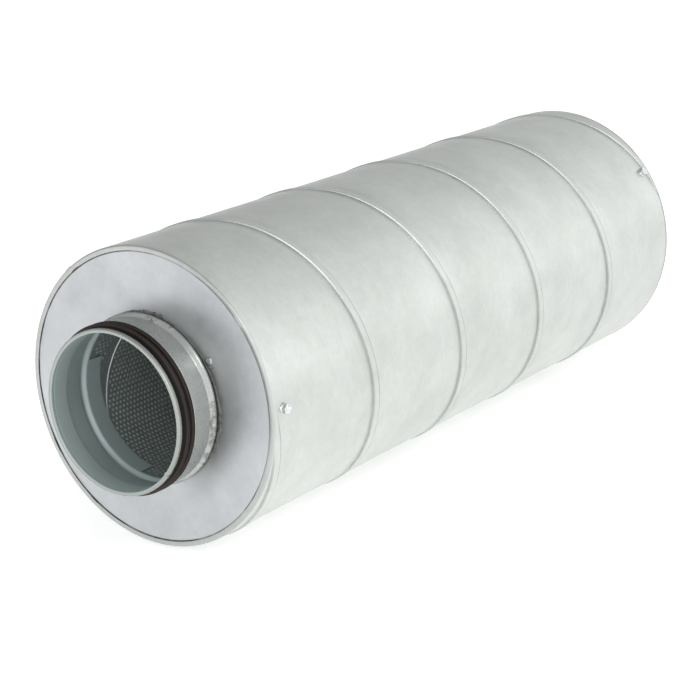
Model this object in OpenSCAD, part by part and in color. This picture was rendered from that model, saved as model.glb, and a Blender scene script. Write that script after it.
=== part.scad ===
// Round duct sound attenuator: a spirally wound casing packed with mineral wool round a
// perforated air tube, closed by two end caps that carry sealed connection spigots.
// Lengths are in millimetres. The duct axis runs along X, the end in view is at -X, +Z is up,
// and angles round the duct start at the top and go round towards -Y.

/* [Casing] */
// outside diameter of the wound casing, over the plain sheet
casing_d = 225; // [205:1:260]
// length of the casing between its two edges
casing_l = 600; // [300:10:1200]
// thickness of all the sheet metal
sheet = 0.8; // [0.6:0.1:1.0]
// width of the edge that is turned in over each end cap
lip_w = 4; // [3:0.5:7]
// distance that the lock seam advances in one turn
seam_pitch = 121.4; // [100:0.1:140]
// width of the flat top of the lock seam
seam_w = 6.4; // [4:0.1:9]
// height of the lock seam over the sheet
seam_h = 1.1; // [0.6:0.1:1.6]
// distance from the front edge to the first whole seam, at the top
seam_start = 93.4; // [85:0.1:99]

/* [Spigots] */
// outside diameter of the collar that slides into the duct
spigot_d = 123.4; // [98:0.1:130]
// length of the collar outside the end cap
spigot_l = 39.6; // [36:0.1:60]
// height of the stop bead over the collar
bead_h = 2.7; // [2:0.1:3]
// width of the stop bead along the collar
bead_w = 6.8; // [6:0.1:8]
// distance from the end cap to the step where the seal's seat begins
seat_at = 24; // [18:0.1:24]
// depth of the seal's seat below the collar
seat_depth = 2.4; // [2:0.1:2.8]
// thickness of the rolled rim
rim_t = 2.9; // [2.4:0.1:3.2]
// length of the straight tongues that enter the perforated tube
tongue_l = 14.6; // [8:0.1:20]
// number of tabs that are bent out behind the end cap
tabs = 3; // [2:1:4]
// angle that each bent tab takes up
tab_deg = 21; // [18:1:30]
// angle of the slit on each side of a bent tab
slit_deg = 2; // [1:0.5:4]
// angle of the first bent tab from the top
tab_at = 59; // [40:1:80]

/* [Lip seals] */
// height of the seal's free lips over the collar
lip_stand = 1.9; // [1.2:0.1:2.4]
// thickness of the band under the lips
seal_band_t = 1.3; // [1:0.1:1.5]
// thickness of each lip at its tip
lip_t = 0.9; // [0.6:0.1:1.1]

/* [Lining] */
// diameter of the holes in the perforated tube, in a thinned pattern
hole_d = 6; // [3:0.5:9]
// number of holes in each ring
holes_round = 12; // [8:1:12]
// number of rings of holes along the tube
hole_rings = 10; // [6:1:10]
// thickness of the fleece between the tube and the wool
fleece_t = 0.6; // [0.4:0.1:1.0]

/* [End caps] */
// depth of the flange that stands inside the casing
flange_l = 25; // [20:0.5:40]
// outer radius of the bend between an end cap's disc and its flange
bend_r = 2.4; // [1.8:0.1:3]

/* [Fasteners] */
// number of screws in each end of the casing
screws = 4; // [3:1:6]
// angle of the screw in view at the front end
front_screw_at = 84; // [80:1:90]
// angle of the screw in view at the rear end
rear_screw_at = 52.8; // [45:0.1:60]
// distance of the screws from the casing's edge
screw_in = 12.5; // [10:0.1:14]
// diameter of the screw's thread
screw_d = 4; // [3.5:0.1:4.8]
// length of the screw below its head
screw_l = 13; // [9.5:0.5:16]
// width of the screw's hexagon across its flats
hex_af = 7; // [5.5:0.1:8]
// diameter of the rivet's shank
rivet_d = 3.2; // [3:0.1:4]
// diameter of the rivet's head
rivet_head_d = 6.4; // [6:0.1:7]

/* [Hidden] */
// clearance between faces that rest on each other, and round a shank in its hole
fit = 0.05;
hole_fit = 0.12;
// columns of the wound casing, the run of a seam's flank, and the least step along a column
cols = 72;
flank = 0.6;
least = 0.02;
casing_r = casing_d / 2;
front_x = -casing_l / 2;
rear_x = casing_l / 2;
first_turn = -2;
last_turn = ceil((casing_l - seam_start) / seam_pitch) + 1;
// radius inside the casing's flat columns, and the cap that stands in it
casing_ri = (casing_r - sheet) * cos(180 / cols);
cap_r = casing_ri - fit;
// face of the end cap, measured out from the casing's edge
face_s = -sheet - fit;
// collar radii
col_ro = spigot_d / 2;
col_ri = col_ro - sheet;
seat_ro = col_ro - seat_depth;
seat_ri = seat_ro - sheet;
rim_r = seat_ri + rim_t / 2;
rim_s = spigot_l - rim_t / 2;
bead_hw = bead_w / 2;
bead_r = col_ro + bead_h - bead_hw;
bead_s = bead_hw + fit;
cap_hole_r = col_ro + hole_fit;
// back of the cap's disc, and of the tabs bent against it
back_s = -sheet - fit;
tab_back_s = back_s - sheet;
// rivets stand clear of the bead, and the tabs reach past them
rivet_r = col_ro + max(bead_h - 0.4, 1.9) + 0.2 + rivet_head_d / 2;
tab_ro = rivet_r + rivet_head_d / 2 + 1;
rivet_head_h = 1.4;
tail_l = 3.4;
seal_out_r = col_ro + max(bead_h - 0.4, 1.9);
// perforated tube over the tongues, then fleece, then wool
tube_ri = col_ro + hole_fit;
tube_ro = tube_ri + sheet;
tube_l = casing_l + 2 * (face_s + tab_back_s - fit);
fleece_ri = tube_ro + fit;
fleece_ro = fleece_ri + fleece_t;
wool_ri = fleece_ro + fit;
wool_ro = casing_ri - 0.2;
wool_end_r = cap_r - sheet - 0.2;
wool_l = casing_l + 2 * (face_s + tab_back_s - tail_l - 0.4);
flange_x = casing_l / 2 + face_s - flange_l;
// screw head
washer_d = hex_af + 1.6;
washer_t = 0.8;
hex_h = 3;
screw_sits_r = casing_r + fit;
point_l = screw_d * 0.9;
$fn = 96;

// a point at distance x along the duct, radius r and angle a round it
function at(x, r, a) = [x, -r * sin(a), r * cos(a)];

// middle of one turn of the lock seam at angle a
function seam_x(a, turn) = front_x + seam_start + seam_pitch * (a / 360 + turn);

// height of the seam over the sheet at distance d from its middle
function seam_rise(d) = seam_h * min(1, max(0, (seam_w / 2 + flank - abs(d)) / flank));

// height of whichever turn stands at x
function rise_at(a, x) = max([for (k = [first_turn:last_turn]) seam_rise(x - seam_x(a, k))]);

// a place along the casing, held between its two edges
function held(x) = x < front_x + least ? front_x : x > rear_x - least ? rear_x : x;

// one point of the casing's outside
function skin(a, x, rise) = let (e = held(x))
    at(e, casing_r + (e == x ? rise : rise_at(a, e)), a);

// the outside of one column: foot, top, top and foot of every turn
function skin_column(a) = [for (k = [first_turn:last_turn]) let (m = seam_x(a, k))
    each [skin(a, m - seam_w / 2 - flank, 0), skin(a, m - seam_w / 2, seam_h),
        skin(a, m + seam_w / 2, seam_h), skin(a, m + seam_w / 2 + flank, 0)]];

// the inside of one column: the turned-in edges and the wall between them
function lining_column(a) = [at(rear_x, casing_r - lip_w, a), at(rear_x - sheet, casing_r - lip_w, a),
    at(rear_x - sheet, casing_r - sheet, a), at(front_x + sheet, casing_r - sheet, a),
    at(front_x + sheet, casing_r - lip_w, a), at(front_x, casing_r - lip_w, a)];

// a triangle, unless two of its corners have run together at an edge of the casing
function tri(p, a, b, c) = p[a] == p[b] || p[b] == p[c] || p[a] == p[c] ? [] : [[a, b, c]];

// the wound tube: after a whole turn each seam meets the next one along
module wound_tube() {
    outer_n = 4 * (last_turn - first_turn + 1);
    all_n = outer_n + 6;
    points = [for (i = [0:cols - 1]) let (a = 360 * i / cols)
        each concat(skin_column(a), lining_column(a))];
    function index(i, j) = i < cols ? i * all_n + j : j >= outer_n ? j : min(j + 4, outer_n - 1);
    faces = [for (i = [0:cols - 1], j = [0:all_n - 1])
        let (k = (j + 1) % all_n, a = index(i, j), b = index(i, k), c = index(i + 1, k),
            d = index(i + 1, j))
        each concat(tri(points, a, b, c), tri(points, a, c, d))];
    polyhedron(points, faces, convexity = 12);
}

// children are drawn round local Z, which points out of the duct at that end
module at_front() {
    translate([front_x, 0, 0])
        rotate([0, -90, 0])
            children();
}

module at_rear() {
    mirror([1, 0, 0])
        at_front()
            children();
}

// children stand on the casing at each screw, with local Z pointing outwards
module at_screws(first) {
    for (i = [0:screws - 1])
        rotate([0, 0, -first - 360 * i / screws])
            translate([0, 0, -screw_in])
                rotate([0, 90, 0])
                    children();
}

// children stand on the end cap's face at each rivet
module at_rivets() {
    for (i = [0:tabs - 1])
        rotate([0, 0, -tab_at - 360 * i / tabs])
            translate([rivet_r, 0, face_s])
                children();
}

// hole for a screw, with a flat for its head where a seam passes under it
module screw_cut() {
    translate([0, 0, casing_r - 8])
        cylinder(d = screw_d + 2 * hole_fit, h = 8 + fit);
    translate([0, 0, screw_sits_r])
        cylinder(d = washer_d + 0.6, h = seam_h + 2);
}

module outer_casing() {
    color("#c3c8c2")
        difference() {
            wound_tube();
            at_front()
                at_screws(front_screw_at)
                    screw_cut();
            at_rear()
                at_screws(rear_screw_at)
                    screw_cut();
        }
}

// section of the bend between an end cap's disc and its flange
module bend_section() {
    translate([cap_r - bend_r, face_s - bend_r])
        intersection() {
            difference() {
                circle(bend_r);
                circle(bend_r - sheet);
            }
            square(bend_r + 1);
        }
}

// the pan: a disc with the collar's hole, a bend and a flange
module cap_pan() {
    rotate_extrude()
        bend_section();
    translate([0, 0, face_s - sheet])
        difference() {
            cylinder(r = cap_r - bend_r, h = sheet);
            translate([0, 0, -1])
                cylinder(r = cap_hole_r, h = sheet + 2);
        }
    translate([0, 0, face_s - flange_l])
        difference() {
            cylinder(r = cap_r, h = flange_l - bend_r);
            translate([0, 0, -1])
                cylinder(r = cap_r - sheet, h = flange_l + 2);
        }
}

module end_cap(screw_first) {
    color("#b9bec4")
        difference() {
            cap_pan();
            at_screws(screw_first)
                translate([0, 0, cap_r - 8])
                    cylinder(d = screw_d + 2 * hole_fit, h = 16);
            at_rivets()
                translate([0, 0, -2])
                    cylinder(d = rivet_d + 2 * hole_fit, h = 4);
        }
}

module front_end_cap() {
    at_front()
        end_cap(front_screw_at);
}

module rear_end_cap() {
    at_rear()
        end_cap(rear_screw_at);
}

// section of the collar: sleeve, hollow stop bead, body, seal seat and rolled rim
module collar_section() {
    translate([col_ri, -tongue_l])
        square([sheet, bead_s - bead_hw + sheet + tongue_l]);
    translate([bead_r, bead_s])
        intersection() {
            difference() {
                circle(bead_hw);
                circle(bead_hw - sheet);
            }
            translate([col_ri - bead_r, -bead_w])
                square(2 * bead_w);
        }
    translate([col_ri, bead_s + bead_hw - sheet])
        square([sheet, seat_at - bead_s - bead_hw + sheet]);
    translate([seat_ri, seat_at - sheet])
        square([col_ro - seat_ri, sheet]);
    translate([seat_ri, seat_at - sheet])
        square([sheet, rim_s - seat_at + sheet]);
    translate([rim_r, rim_s])
        circle(rim_t / 2);
}

// flat wedge round the axis, centred on the first tab, from s0 up to s1
module wedge(deg, s0, s1) {
    reach = casing_r;
    rotate([0, 0, -tab_at])
        translate([0, 0, s0])
            linear_extrude(s1 - s0)
                polygon([[0, 0], [reach * cos(deg / 2), -reach * sin(deg / 2)],
                    [reach * cos(deg / 2), reach * sin(deg / 2)]]);
}

// tab bent out behind the end cap, with the rivet's hole in it
module bent_tab() {
    difference() {
        intersection() {
            translate([0, 0, tab_back_s])
                cylinder(r = tab_ro, h = sheet);
            wedge(tab_deg, tab_back_s - 1, back_s + 1);
        }
        translate([0, 0, tab_back_s - 1])
            cylinder(r = col_ri + sheet / 2, h = sheet + 2);
        rotate([0, 0, -tab_at])
            translate([rivet_r, 0, tab_back_s - 1])
                cylinder(d = rivet_d + 2 * hole_fit, h = 4);
    }
}

// collar with its inner end slit into straight tongues, and the tabs between them bent out
module spigot() {
    color("#c9cdc8")
        translate([0, 0, face_s]) {
            difference() {
                rotate_extrude()
                    collar_section();
                for (i = [0:tabs - 1])
                    rotate([0, 0, -360 * i / tabs]) {
                        wedge(tab_deg + 2 * slit_deg, -tongue_l - 1, tab_back_s + sheet / 2);
                        difference() {
                            wedge(tab_deg + 2 * slit_deg, tab_back_s, back_s);
                            wedge(tab_deg - slit_deg, tab_back_s - 1, back_s + 1);
                        }
                    }
            }
            for (i = [0:tabs - 1])
                rotate([0, 0, -360 * i / tabs])
                    bent_tab();
        }
}

module front_spigot() {
    at_front()
        spigot();
}

module rear_spigot() {
    at_rear()
        spigot();
}

// section of the seal: a band in the seat with two lips that lean back from the mouth
module seal_section() {
    band_r = seat_ro + fit;
    band_s = seat_at + fit;
    band_l = spigot_l - rim_t - band_s - fit;
    top_r = band_r + seal_band_t;
    tip_r = col_ro + lip_stand - lip_t / 2;
    step = band_l / 2;
    translate([band_r, band_s])
        square([seal_band_t, band_l]);
    for (i = [0, 1]) {
        root = band_s + step * (i + 1);
        polygon([[top_r - 0.3, root - 1.9], [tip_r - lip_t * 0.35, root - 3.6 - lip_t * 0.35],
            [tip_r + lip_t * 0.35, root - 3.6 + lip_t * 0.35], [top_r - 0.3, root - 0.1]]);
        translate([tip_r, root - 3.6])
            circle(lip_t / 2);
    }
}

module lip_seal() {
    color("#2b2624")
        translate([0, 0, face_s])
            rotate_extrude()
                seal_section();
}

module front_lip_seal() {
    at_front()
        lip_seal();
}

module rear_lip_seal() {
    at_rear()
        lip_seal();
}

// staggered rings of holes, thinned from the real tube's close pattern
module tube_holes() {
    gap = (tube_l - 60) / hole_rings;
    for (j = [0:hole_rings - 1], i = [0:holes_round - 1])
        translate([gap * (j + 0.5 - hole_rings / 2), 0, 0])
            rotate([360 * (i + (j % 2) / 2) / holes_round, 0, 0])
                translate([0, 0, tube_ri - 2])
                    cylinder(d = hole_d, h = sheet + 4);
}

// plain tube along the duct, about its middle
module sleeve(ri, ro, l) {
    rotate([0, 90, 0])
        difference() {
            cylinder(r = ro, h = l, center = true);
            cylinder(r = ri, h = l + 2, center = true);
        }
}

module perforated_tube() {
    color("#6f7874")
        difference() {
            sleeve(tube_ri, tube_ro, tube_l);
            tube_holes();
        }
}

module fleece_wrap() {
    color("#d5d6d0")
        sleeve(fleece_ri, fleece_ro, tube_l);
}

// section of the wool, drawn in at both ends to enter the end caps' flanges
module wool_section() {
    polygon([[wool_ri, -wool_l / 2], [wool_end_r, -wool_l / 2], [wool_end_r, 1 - flange_x],
        [wool_ro, 3 - flange_x], [wool_ro, flange_x - 3], [wool_end_r, flange_x - 1],
        [wool_end_r, wool_l / 2], [wool_ri, wool_l / 2]]);
}

// half of the wool, on the side of +Z or -Z, pierced where the screws stand in it
module wool_half(side) {
    color("#b89d55")
        difference() {
            rotate([0, 90, 0])
                rotate_extrude()
                    wool_section();
            translate([0, 0, -side * casing_r + side * fit])
                cube([casing_l + 2, casing_d + 2, casing_d], center = true);
            at_front()
                at_screws(front_screw_at)
                    screw_way();
            at_rear()
                at_screws(rear_screw_at)
                    screw_way();
        }
}

// room that a screw takes up in the wool
module screw_way() {
    translate([0, 0, casing_r - screw_l - 1])
        cylinder(d = screw_d + 4 * hole_fit, h = screw_l + 2);
}

module upper_wool_shell() {
    wool_half(1);
}

module lower_wool_shell() {
    wool_half(-1);
}

// hexagon head on a pressed washer, plain shank and drill point
module casing_screw() {
    translate([0, 0, screw_sits_r]) {
        cylinder(d = washer_d, h = washer_t);
        translate([0, 0, washer_t])
            cylinder(d = hex_af / cos(30), h = hex_h, $fn = 6);
        translate([0, 0, point_l - screw_l])
            cylinder(d = screw_d, h = screw_l - point_l + washer_t / 2);
        translate([0, 0, -screw_l])
            cylinder(d1 = screw_d * 0.25, d2 = screw_d * 0.8, h = point_l);
    }
}

module front_casing_screws() {
    color("#dfe2e2")
        at_front()
            at_screws(front_screw_at)
                casing_screw();
}

module rear_casing_screws() {
    color("#dfe2e2")
        at_rear()
            at_screws(rear_screw_at)
                casing_screw();
}

// blind rivet: domed head with the mandrel's hole, shank and upset tail
module spigot_rivet() {
    dome_r = (pow(rivet_head_d / 2, 2) + pow(rivet_head_h, 2)) / (2 * rivet_head_h);
    tail_s = tab_back_s - fit;
    difference() {
        translate([0, 0, fit])
            intersection() {
                translate([0, 0, rivet_head_h - dome_r])
                    sphere(dome_r);
                cylinder(d = rivet_head_d + 1, h = rivet_head_h + 1);
            }
        translate([0, 0, rivet_head_h - 0.7])
            cylinder(d = rivet_d * 0.55, h = 2);
    }
    translate([0, 0, tail_s - 0.5])
        cylinder(d = rivet_d, h = 0.5 - tail_s + fit + 0.3);
    translate([0, 0, tail_s - tail_l + 1])
        cylinder(d = rivet_d * 1.45, h = tail_l - 1);
    translate([0, 0, tail_s - tail_l])
        cylinder(d1 = rivet_d * 0.9, d2 = rivet_d * 1.45, h = 1);
}

module front_spigot_rivets() {
    color("#8d9290")
        at_front()
            at_rivets()
                spigot_rivet();
}

module rear_spigot_rivets() {
    color("#8d9290")
        at_rear()
            at_rivets()
                spigot_rivet();
}

// fillet of sealant pressed into the corner under the stop bead
module sealant() {
    color("#6d6f6c")
        translate([0, 0, face_s])
            rotate_extrude()
                difference() {
                    translate([col_ro + fit, fit])
                        square([seal_out_r - col_ro - fit, bead_hw * 0.42]);
                    translate([bead_r, bead_s])
                        circle(bead_hw + fit);
                }
}

module front_spigot_sealant() {
    at_front()
        sealant();
}

module rear_spigot_sealant() {
    at_rear()
        sealant();
}

outer_casing();
front_end_cap();
rear_end_cap();
front_spigot();
rear_spigot();
front_lip_seal();
rear_lip_seal();
perforated_tube();
fleece_wrap();
upper_wool_shell();
lower_wool_shell();
front_casing_screws();
rear_casing_screws();
front_spigot_rivets();
rear_spigot_rivets();
front_spigot_sealant();
rear_spigot_sealant();
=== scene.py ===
"""Dressed scene of a round duct sound attenuator that lies on a pale studio floor."""

import logging
import math
from dataclasses import dataclass
from enum import Enum
from typing import Iterable, Sequence

import bmesh
import bpy
from mathutils import Matrix, Vector, noise


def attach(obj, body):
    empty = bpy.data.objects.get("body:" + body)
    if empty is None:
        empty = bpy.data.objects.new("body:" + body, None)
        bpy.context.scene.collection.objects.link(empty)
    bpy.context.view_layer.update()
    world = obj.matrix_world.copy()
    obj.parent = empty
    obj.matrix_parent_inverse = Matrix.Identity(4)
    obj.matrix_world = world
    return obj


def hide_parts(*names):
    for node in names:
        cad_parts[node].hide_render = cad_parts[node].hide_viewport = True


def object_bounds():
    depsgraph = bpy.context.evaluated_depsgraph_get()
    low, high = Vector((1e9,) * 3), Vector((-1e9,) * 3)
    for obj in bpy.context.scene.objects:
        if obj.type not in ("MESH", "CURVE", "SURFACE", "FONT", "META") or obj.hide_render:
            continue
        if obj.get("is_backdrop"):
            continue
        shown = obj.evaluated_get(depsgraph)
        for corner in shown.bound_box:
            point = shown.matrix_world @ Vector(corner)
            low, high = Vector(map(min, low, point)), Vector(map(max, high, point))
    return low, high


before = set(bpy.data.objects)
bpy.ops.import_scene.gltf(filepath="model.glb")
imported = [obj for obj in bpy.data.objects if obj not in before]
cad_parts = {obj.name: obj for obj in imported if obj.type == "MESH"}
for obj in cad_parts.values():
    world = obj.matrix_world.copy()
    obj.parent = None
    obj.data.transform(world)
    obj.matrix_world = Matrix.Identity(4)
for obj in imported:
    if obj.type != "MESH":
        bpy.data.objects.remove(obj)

LOG = logging.getLogger("attenuator")
MM = 0.001
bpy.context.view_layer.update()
Socket = bpy.types.NodeSocket
Triple = tuple[float, float, float]
Stops = Sequence[tuple[float, Triple]]
Section = list[tuple[float, float]]


class End(Enum):
    """The two ends of the duct, by the sign of X."""

    FRONT = -1
    REAR = 1


def around(x: float, r: float, theta: float) -> Vector:
    """Place a point by its distance along the duct, its radius and its angle.

    Args:
        x: distance along the duct in metres.
        r: radius in metres.
        theta: angle in degrees from the top towards -Y.

    Returns:
        The point in the row frame.
    """
    t = math.radians(theta)
    return Vector((x, -r * math.sin(t), r * math.cos(t)))


def angle_of(co: Vector) -> float:
    """Angle of a point in degrees from the top towards -Y, from 0 to 360."""
    return math.degrees(math.atan2(-co.y, co.z)) % 360.0


def radius_of(co: Vector) -> float:
    """Distance of a point from the duct's axis."""
    return math.hypot(co.y, co.z)


class Graph:
    """A material's node tree with a principled shader, built by short calls."""

    def __init__(self, name: str) -> None:
        """Start a material with an empty shader.

        Args:
            name: what it is called.
        """
        self.material = bpy.data.materials.new(name)
        self.material.use_nodes = True
        self.tree = self.material.node_tree
        self.tree.nodes.clear()
        self.shader = self.tree.nodes.new("ShaderNodeBsdfPrincipled")
        output = self.tree.nodes.new("ShaderNodeOutputMaterial")
        self.tree.links.new(self.shader.outputs[0], output.inputs[0])
        self.place = self.add("ShaderNodeTexCoord").outputs["Object"]

    def add(self, kind: str, sockets: dict | None = None, **settings: object) -> bpy.types.Node:
        """Add a node.

        Args:
            kind: the node's type name.
            sockets: input name or index to a value or an output socket.
            settings: the node's own settings.

        Returns:
            The node.
        """
        node = self.tree.nodes.new(kind)
        for key, value in settings.items():
            setattr(node, key, value)
        for key, value in (sockets or {}).items():
            self.feed(node.inputs[key], value)
        return node

    def feed(self, socket: Socket, value: object) -> None:
        """Link an output socket to an input, or set the input's own value.

        Args:
            socket: the input.
            value: an output socket or a value.
        """
        if isinstance(value, Socket):
            self.tree.links.new(value, socket)
        else:
            socket.default_value = value

    def noise(self, scale: float, detail: float = 3.0, rough: float = 0.55,
              place: object = None, twist: float = 0.0) -> Socket:
        """Noise at so many features a metre.

        Args:
            scale: features a metre.
            detail: octaves.
            rough: weight of the finer octaves.
            place: coordinates, or the object's own.
            twist: distortion.

        Returns:
            The noise's value socket.
        """
        node = self.add("ShaderNodeTexNoise", {
            "Vector": place or self.place, "Scale": scale, "Detail": detail,
            "Roughness": rough, "Distortion": twist})
        return node.outputs["Fac"]

    def math(self, operation: str, a: object, b: object = 0.0) -> Socket:
        """One step of arithmetic on two values."""
        return self.add("ShaderNodeMath", {0: a, 1: b}, operation=operation).outputs[0]

    def times(self, a: object, b: object) -> Socket:
        """The product of two values."""
        return self.math("MULTIPLY", a, b)

    def vector(self, operation: str, a: object, b: object, output: str = "Vector") -> Socket:
        """One step of arithmetic on two vectors."""
        return self.add("ShaderNodeVectorMath", {0: a, 1: b}, operation=operation).outputs[output]

    def span(self, value: object, low: float, high: float, out_low: float = 0.0,
             out_high: float = 1.0) -> Socket:
        """Map a value smoothly from one range to another and hold it at the ends.

        Args:
            value: the socket to map.
            low: where the output begins.
            high: where the output ends.
            out_low: output at low.
            out_high: output at high.

        Returns:
            The mapped value's socket.
        """
        node = self.add("ShaderNodeMapRange", {
            "Value": value, "From Min": low, "From Max": high, "To Min": out_low,
            "To Max": out_high}, interpolation_type="SMOOTHSTEP", clamp=True)
        return node.outputs[0]

    def ramp(self, value: object, stops: Stops) -> Socket:
        """Colours along a value.

        Args:
            value: the socket that picks the colour.
            stops: places from 0 to 1 with linear colours.

        Returns:
            The colour socket.
        """
        node = self.add("ShaderNodeValToRGB", {"Fac": value})
        band = node.color_ramp
        while len(band.elements) < len(stops):
            band.elements.new(0.5)
        for element, (where, colour) in zip(band.elements, stops):
            element.position = where
            element.color = (*colour, 1.0)
        return node.outputs["Color"]

    def mix(self, amount: object, a: object, b: object, blend: str = "MIX") -> Socket:
        """Mix two colours.

        Args:
            amount: share of the second colour.
            a: first colour or socket.
            b: second colour or socket.
            blend: way of mixing.

        Returns:
            The mixed colour's socket.
        """
        node = self.add("ShaderNodeMix", data_type="RGBA", blend_type=blend, clamp_result=True)
        for name, value in (("Factor", amount), ("A", a), ("B", b)):
            socket = next(s for s in node.inputs if s.name == name and s.enabled)
            self.feed(socket, (*value, 1.0) if isinstance(value, tuple) else value)
        return next(s for s in node.outputs if s.enabled)

    def bump(self, height: object, strength: float, distance: float,
             under: object = None) -> Socket:
        """Raise the surface by a height value.

        Args:
            height: the height's socket.
            strength: share of the effect.
            distance: full height in metres.
            under: a bump that this one lies on.

        Returns:
            The normal socket.
        """
        sockets = {"Height": height, "Strength": strength, "Distance": distance}
        if under is not None:
            sockets["Normal"] = under
        return self.add("ShaderNodeBump", sockets).outputs[0]

    def axis(self, name: str) -> Socket:
        """One coordinate of the object's place, X, Y or Z."""
        return self.add("ShaderNodeSeparateXYZ", {0: self.place}).outputs[name]

    def out(self) -> Socket:
        """Distance along the duct from its middle."""
        return self.math("ABSOLUTE", self.axis("X"))

    def outward(self) -> Socket:
        """The place's part square to the duct's axis, as a vector."""
        return self.vector("MULTIPLY", self.place, (0.0, 1.0, 1.0))

    def reach(self) -> Socket:
        """Distance from the duct's axis."""
        return self.vector("DISTANCE", self.outward(), (0.0, 0.0, 0.0), "Value")

    def turn(self) -> Socket:
        """Angle about the duct's axis in radians, from the top towards -Y."""
        return self.math("ARCTAN2", self.times(self.axis("Y"), -1.0), self.axis("Z"))

    def near(self, point: Vector, inner: float, outer: float, waver: object = None) -> Socket:
        """A soft ball round a point, 1 inside it and 0 outside.

        Args:
            point: its middle, in metres.
            inner: radius of the full part.
            outer: radius where it ends.
            waver: a value that is added to the distance.

        Returns:
            The ball's value socket.
        """
        distance = self.vector("DISTANCE", self.place, tuple(point), "Value")
        if waver is not None:
            distance = self.math("ADD", distance, waver)
        return self.span(distance, inner, outer, 1.0, 0.0)

    def dress(self, **sockets: object) -> bpy.types.Material:
        """Set the shader's inputs and give the material.

        Args:
            sockets: values or sockets by input name, with _ for each space.

        Returns:
            The material.
        """
        for key, value in sockets.items():
            self.feed(self.shader.inputs[key.replace("_", " ")], value)
        return self.material


@dataclass(frozen=True)
class ZincSheet:
    """Galvanised sheet: faint spangle, slow waves and a fine grain."""

    name: str
    dark: Triple
    light: Triple
    rough: float
    spangle: float = 210.0
    flake: float = 0.12
    wave: float = 0.0004
    metal: float = 1.0

    def base(self, g: Graph) -> tuple[Socket, Socket, Socket]:
        """Lay the sheet's colour, roughness and surface.

        Args:
            g: the material's graph.

        Returns:
            Sockets of colour, roughness and normal.
        """
        cells = g.add("ShaderNodeTexVoronoi", {
            "Vector": g.place, "Scale": self.spangle, "Randomness": 1.0}, feature="F1")
        crystal = g.add("ShaderNodeSeparateColor", {0: cells.outputs["Color"]}).outputs[0]
        cloud = g.noise(17.0, 4.0, 0.6)
        grain = g.noise(330.0, 2.0, 0.6)
        tone = g.times(g.math("SUBTRACT", crystal, 0.5), self.flake)
        tone = g.math("ADD", tone, cloud)
        tone = g.math("ADD", tone, g.times(g.math("SUBTRACT", grain, 0.5), 0.22))
        colour = g.ramp(tone, ((0.28, self.dark), (0.72, self.light)))
        streak = g.noise(48.0, 4.0, 0.6, twist=0.4)
        rough = g.math("ADD", g.span(streak, 0.3, 0.7, self.rough - 0.04, self.rough + 0.05),
                       g.times(crystal, 0.3 * self.flake))
        normal = g.bump(g.noise(8.0, 2.0, 0.5), 0.6, self.wave)
        normal = g.bump(g.noise(130.0, 1.0, 0.5), 0.06, 0.0002, normal)
        return colour, rough, normal

    def make(self) -> bpy.types.Material:
        """Give the plain sheet's material.

        Returns:
            The material.
        """
        g = Graph(self.name)
        colour, rough, normal = self.base(g)
        return g.dress(Base_Color=colour, Metallic=self.metal, Roughness=rough, Normal=normal)


@dataclass(frozen=True)
class CasingSheet(ZincSheet):
    """The wound strip's sheet, with dirt and painted shade along both edges of the lock seam, and painted
    shade in its bent edges.
    """

    pitch: float = 121.4 * MM
    start: float = -206.6 * MM
    seam_w: float = 6.4 * MM
    rim: float = 298.0 * MM
    # Tone of the seam lines: dirt and painted shade.
    seam_dirt_and_shade_tone: Triple = (0.20, 0.205, 0.195)
    # Painted shade in the turned-in bends at both ends.
    bend_shade_tone: Triple = (0.36, 0.365, 0.36)
    # Painted shade along the rear end's edge.
    rear_edge_shade_tone: Triple = (0.14, 0.14, 0.135)
    drawn_tones: Stops = ((0.32, (0.30, 0.31, 0.29)), (0.68, (0.95, 0.97, 0.95)))

    def make(self) -> bpy.types.Material:
        """Give the casing's material.

        Returns:
            The material.
        """
        g = Graph(self.name)
        colour, rough, normal = self.base(g)
        turn = g.turn()
        along = g.math("DIVIDE", g.math("SUBTRACT", g.axis("X"), self.start), self.pitch)
        share = g.math("SUBTRACT", along, g.math("DIVIDE", turn, math.tau))
        off = g.math("SUBTRACT", g.math("FRACT", g.math("ADD", share, 0.5)), 0.5)
        gap = g.times(off, self.pitch)
        # Dark lines at the seam's front foot and its crest's edge: part dirt, part painted shade, painted
        # weaker towards the top where the seam catches the light, and faded out at the casing's edges.
        foot = g.math("ABSOLUTE", g.math("ADD", gap, self.seam_w / 2 + 0.15 * MM))
        brink = g.math("ABSOLUTE", g.math("SUBTRACT", gap, self.seam_w / 2 - 0.55 * MM))
        line = g.math("MAXIMUM", g.span(foot, 0.1 * MM, 0.55 * MM, 0.45, 0.0),
                      g.span(brink, 0.15 * MM, 0.75 * MM, 1.0, 0.0))
        jittered = g.times(g.span(g.noise(30.0, 3.0), 0.3, 0.7, 0.5, 0.85),
                      g.span(g.axis("Z"), 40 * MM, 95 * MM, 1.0, 0.3))
        jittered = g.times(jittered, g.span(g.out(), self.rim - 3 * MM, self.rim, 1.0, 0.0))
        colour = g.mix(g.times(line, jittered), colour, self.seam_dirt_and_shade_tone)
        # Painted shade: the turned-in bends at both ends darkened, standing for their dark reflection.
        edge = g.span(g.out(), self.rim, self.rim + 1.8 * MM, 0.0, 0.5)
        colour = g.mix(edge, colour, self.bend_shade_tone)
        # Painted shade: the rear end darkened from just before its bend, standing for a shadow line at the
        # edge.
        rear_edge_shade = g.span(g.axis("X"), self.rim - 1.4 * MM, self.rim - 0.2 * MM, 0.0, 0.6)
        colour = g.mix(rear_edge_shade, colour, self.rear_edge_shade_tone)
        strip = g.add("ShaderNodeCombineXYZ", {0: g.times(off, 30.0), 1: g.times(turn, 4.0)})
        drawn = g.noise(1.6, 5.0, 0.65, strip.outputs[0])
        colour = g.mix(0.05, colour, g.ramp(drawn, self.drawn_tones), "OVERLAY")
        return g.dress(Base_Color=colour, Metallic=self.metal, Roughness=rough, Normal=normal)


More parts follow.
